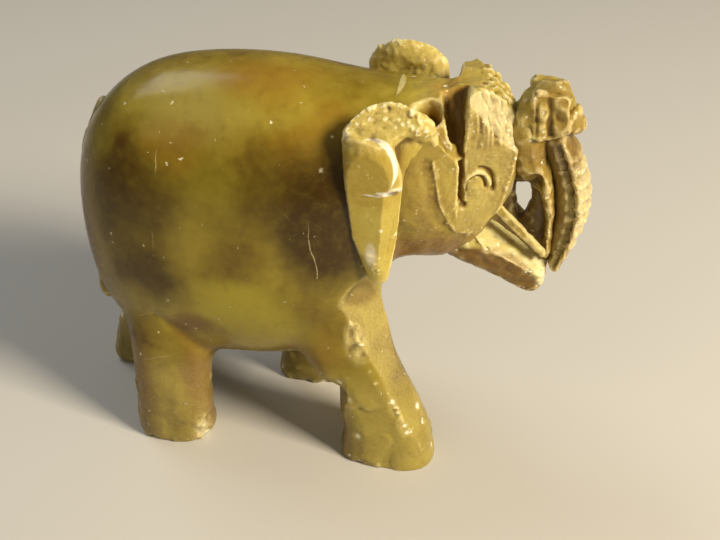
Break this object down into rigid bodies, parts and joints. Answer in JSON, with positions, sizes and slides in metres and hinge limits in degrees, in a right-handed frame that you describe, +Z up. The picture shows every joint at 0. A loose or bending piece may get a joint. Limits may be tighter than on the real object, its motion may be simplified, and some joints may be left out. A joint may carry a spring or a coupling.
{
  "type": "elephant figurine",
  "caption": "Small standing elephant carved from one piece of polished green stone, striding, with its trunk raised and curled back to the forehead.",
  "frame": {"origin": "on the ground, under the middle of the figure's box", "axes": "+X towards the head and trunk, +Y to the animal's left, +Z up"},
  "size_m": [0.0636, 0.025, 0.0498],
  "materials": {
    "polished_stone": "polished",
    "carved_stone": "satin, chisel cut"
  },
  "bodies": {
    "root": {"torso": "polished_stone", "neck": "polished_stone", "head": "carved_stone", "right_brow": "carved_stone", "left_brow": "carved_stone", "right_ear": "carved_stone", "left_ear": "carved_stone", "trunk_root": "carved_stone", "trunk": "carved_stone", "trunk_tip": "carved_stone", "lower_jaw": "carved_stone", "right_tusk": "carved_stone", "left_tusk": "carved_stone", "front_right_leg": "polished_stone", "front_left_leg": "polished_stone", "rear_right_leg": "polished_stone", "rear_left_leg": "polished_stone", "tail": "polished_stone"}
  },
  "joints": []
}
